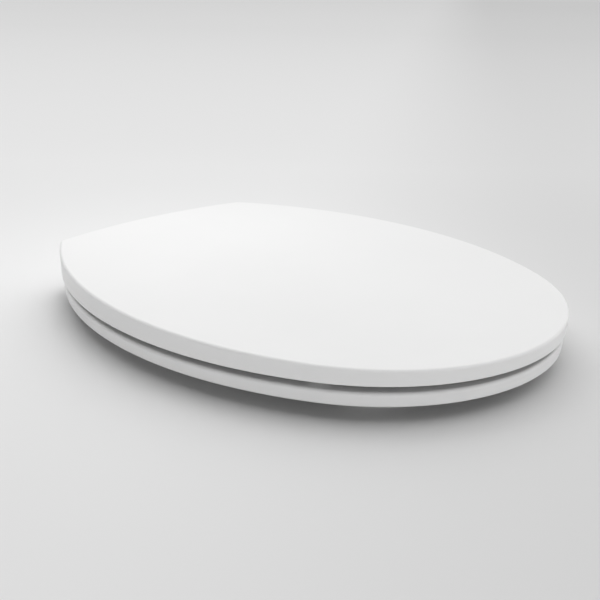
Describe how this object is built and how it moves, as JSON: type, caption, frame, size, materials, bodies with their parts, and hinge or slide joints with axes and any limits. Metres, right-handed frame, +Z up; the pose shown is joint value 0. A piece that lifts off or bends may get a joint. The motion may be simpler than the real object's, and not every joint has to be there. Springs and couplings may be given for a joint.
{
  "type": "toilet seat",
  "caption": "Slim white soft-close toilet seat: a flat lid over an oval ring of the same outline, with hidden damped hinges and rubber buffers",
  "frame": {"origin": "midway between the two fixing sockets, on the plane that the pads and buffers rest on", "axes": "+Z up out of the closed lid, +Y towards the hinges at the rear, -Y towards the front, +X to the right seen from the front looking back"},
  "size_m": [0.3648, 0.4447, 0.048],
  "materials": {
    "white_duroplast": "polished moulded white",
    "buffer_rubber": "matt pale grey rubber",
    "hinge_chrome": "bright chrome on zinc",
    "pad_rubber": "matt grey rubber",
    "axle_steel": "ground stainless steel",
    "bush_plastic": "natural bearing plastic",
    "damper_plastic": "black moulded plastic"
  },
  "bodies": {
    "base": {"hinge_block_left": "hinge_chrome", "hinge_block_right": "hinge_chrome", "base_pad_left": "pad_rubber", "base_pad_right": "pad_rubber", "axle_left": "axle_steel", "axle_right": "axle_steel", "axle_screws": "axle_steel", "lid_damper_rotor": "bush_plastic", "seat_damper_rotor": "bush_plastic"},
    "ring": {"seat_ring": "white_duroplast", "seat_buffer_front_left": "buffer_rubber", "seat_buffer_front_right": "buffer_rubber", "seat_buffer_rear_left": "buffer_rubber", "seat_buffer_rear_right": "buffer_rubber", "ring_bush": "bush_plastic", "seat_damper_housing": "damper_plastic", "seat_damper_cover": "damper_plastic"},
    "lid": {"lid": "white_duroplast", "lid_buffer_front_left": "buffer_rubber", "lid_buffer_front_right": "buffer_rubber", "lid_buffer_rear_left": "buffer_rubber", "lid_buffer_rear_right": "buffer_rubber", "lid_bush": "bush_plastic", "lid_damper_housing": "damper_plastic", "lid_damper_cover": "damper_plastic"}
  },
  "joints": [
    {"name": "seat_hinge", "type": "hinge", "parent": "base", "child": "ring", "pos_m": [0, 0.01, 0.0194], "axis": [-1, 0, 0], "range_deg": [0, 92]},
    {"name": "lid_hinge", "type": "hinge", "parent": "ring", "child": "lid", "pos_m": [0, 0.01, 0.0194], "axis": [-1, 0, 0], "range_deg": [0, 95]}
  ]
}
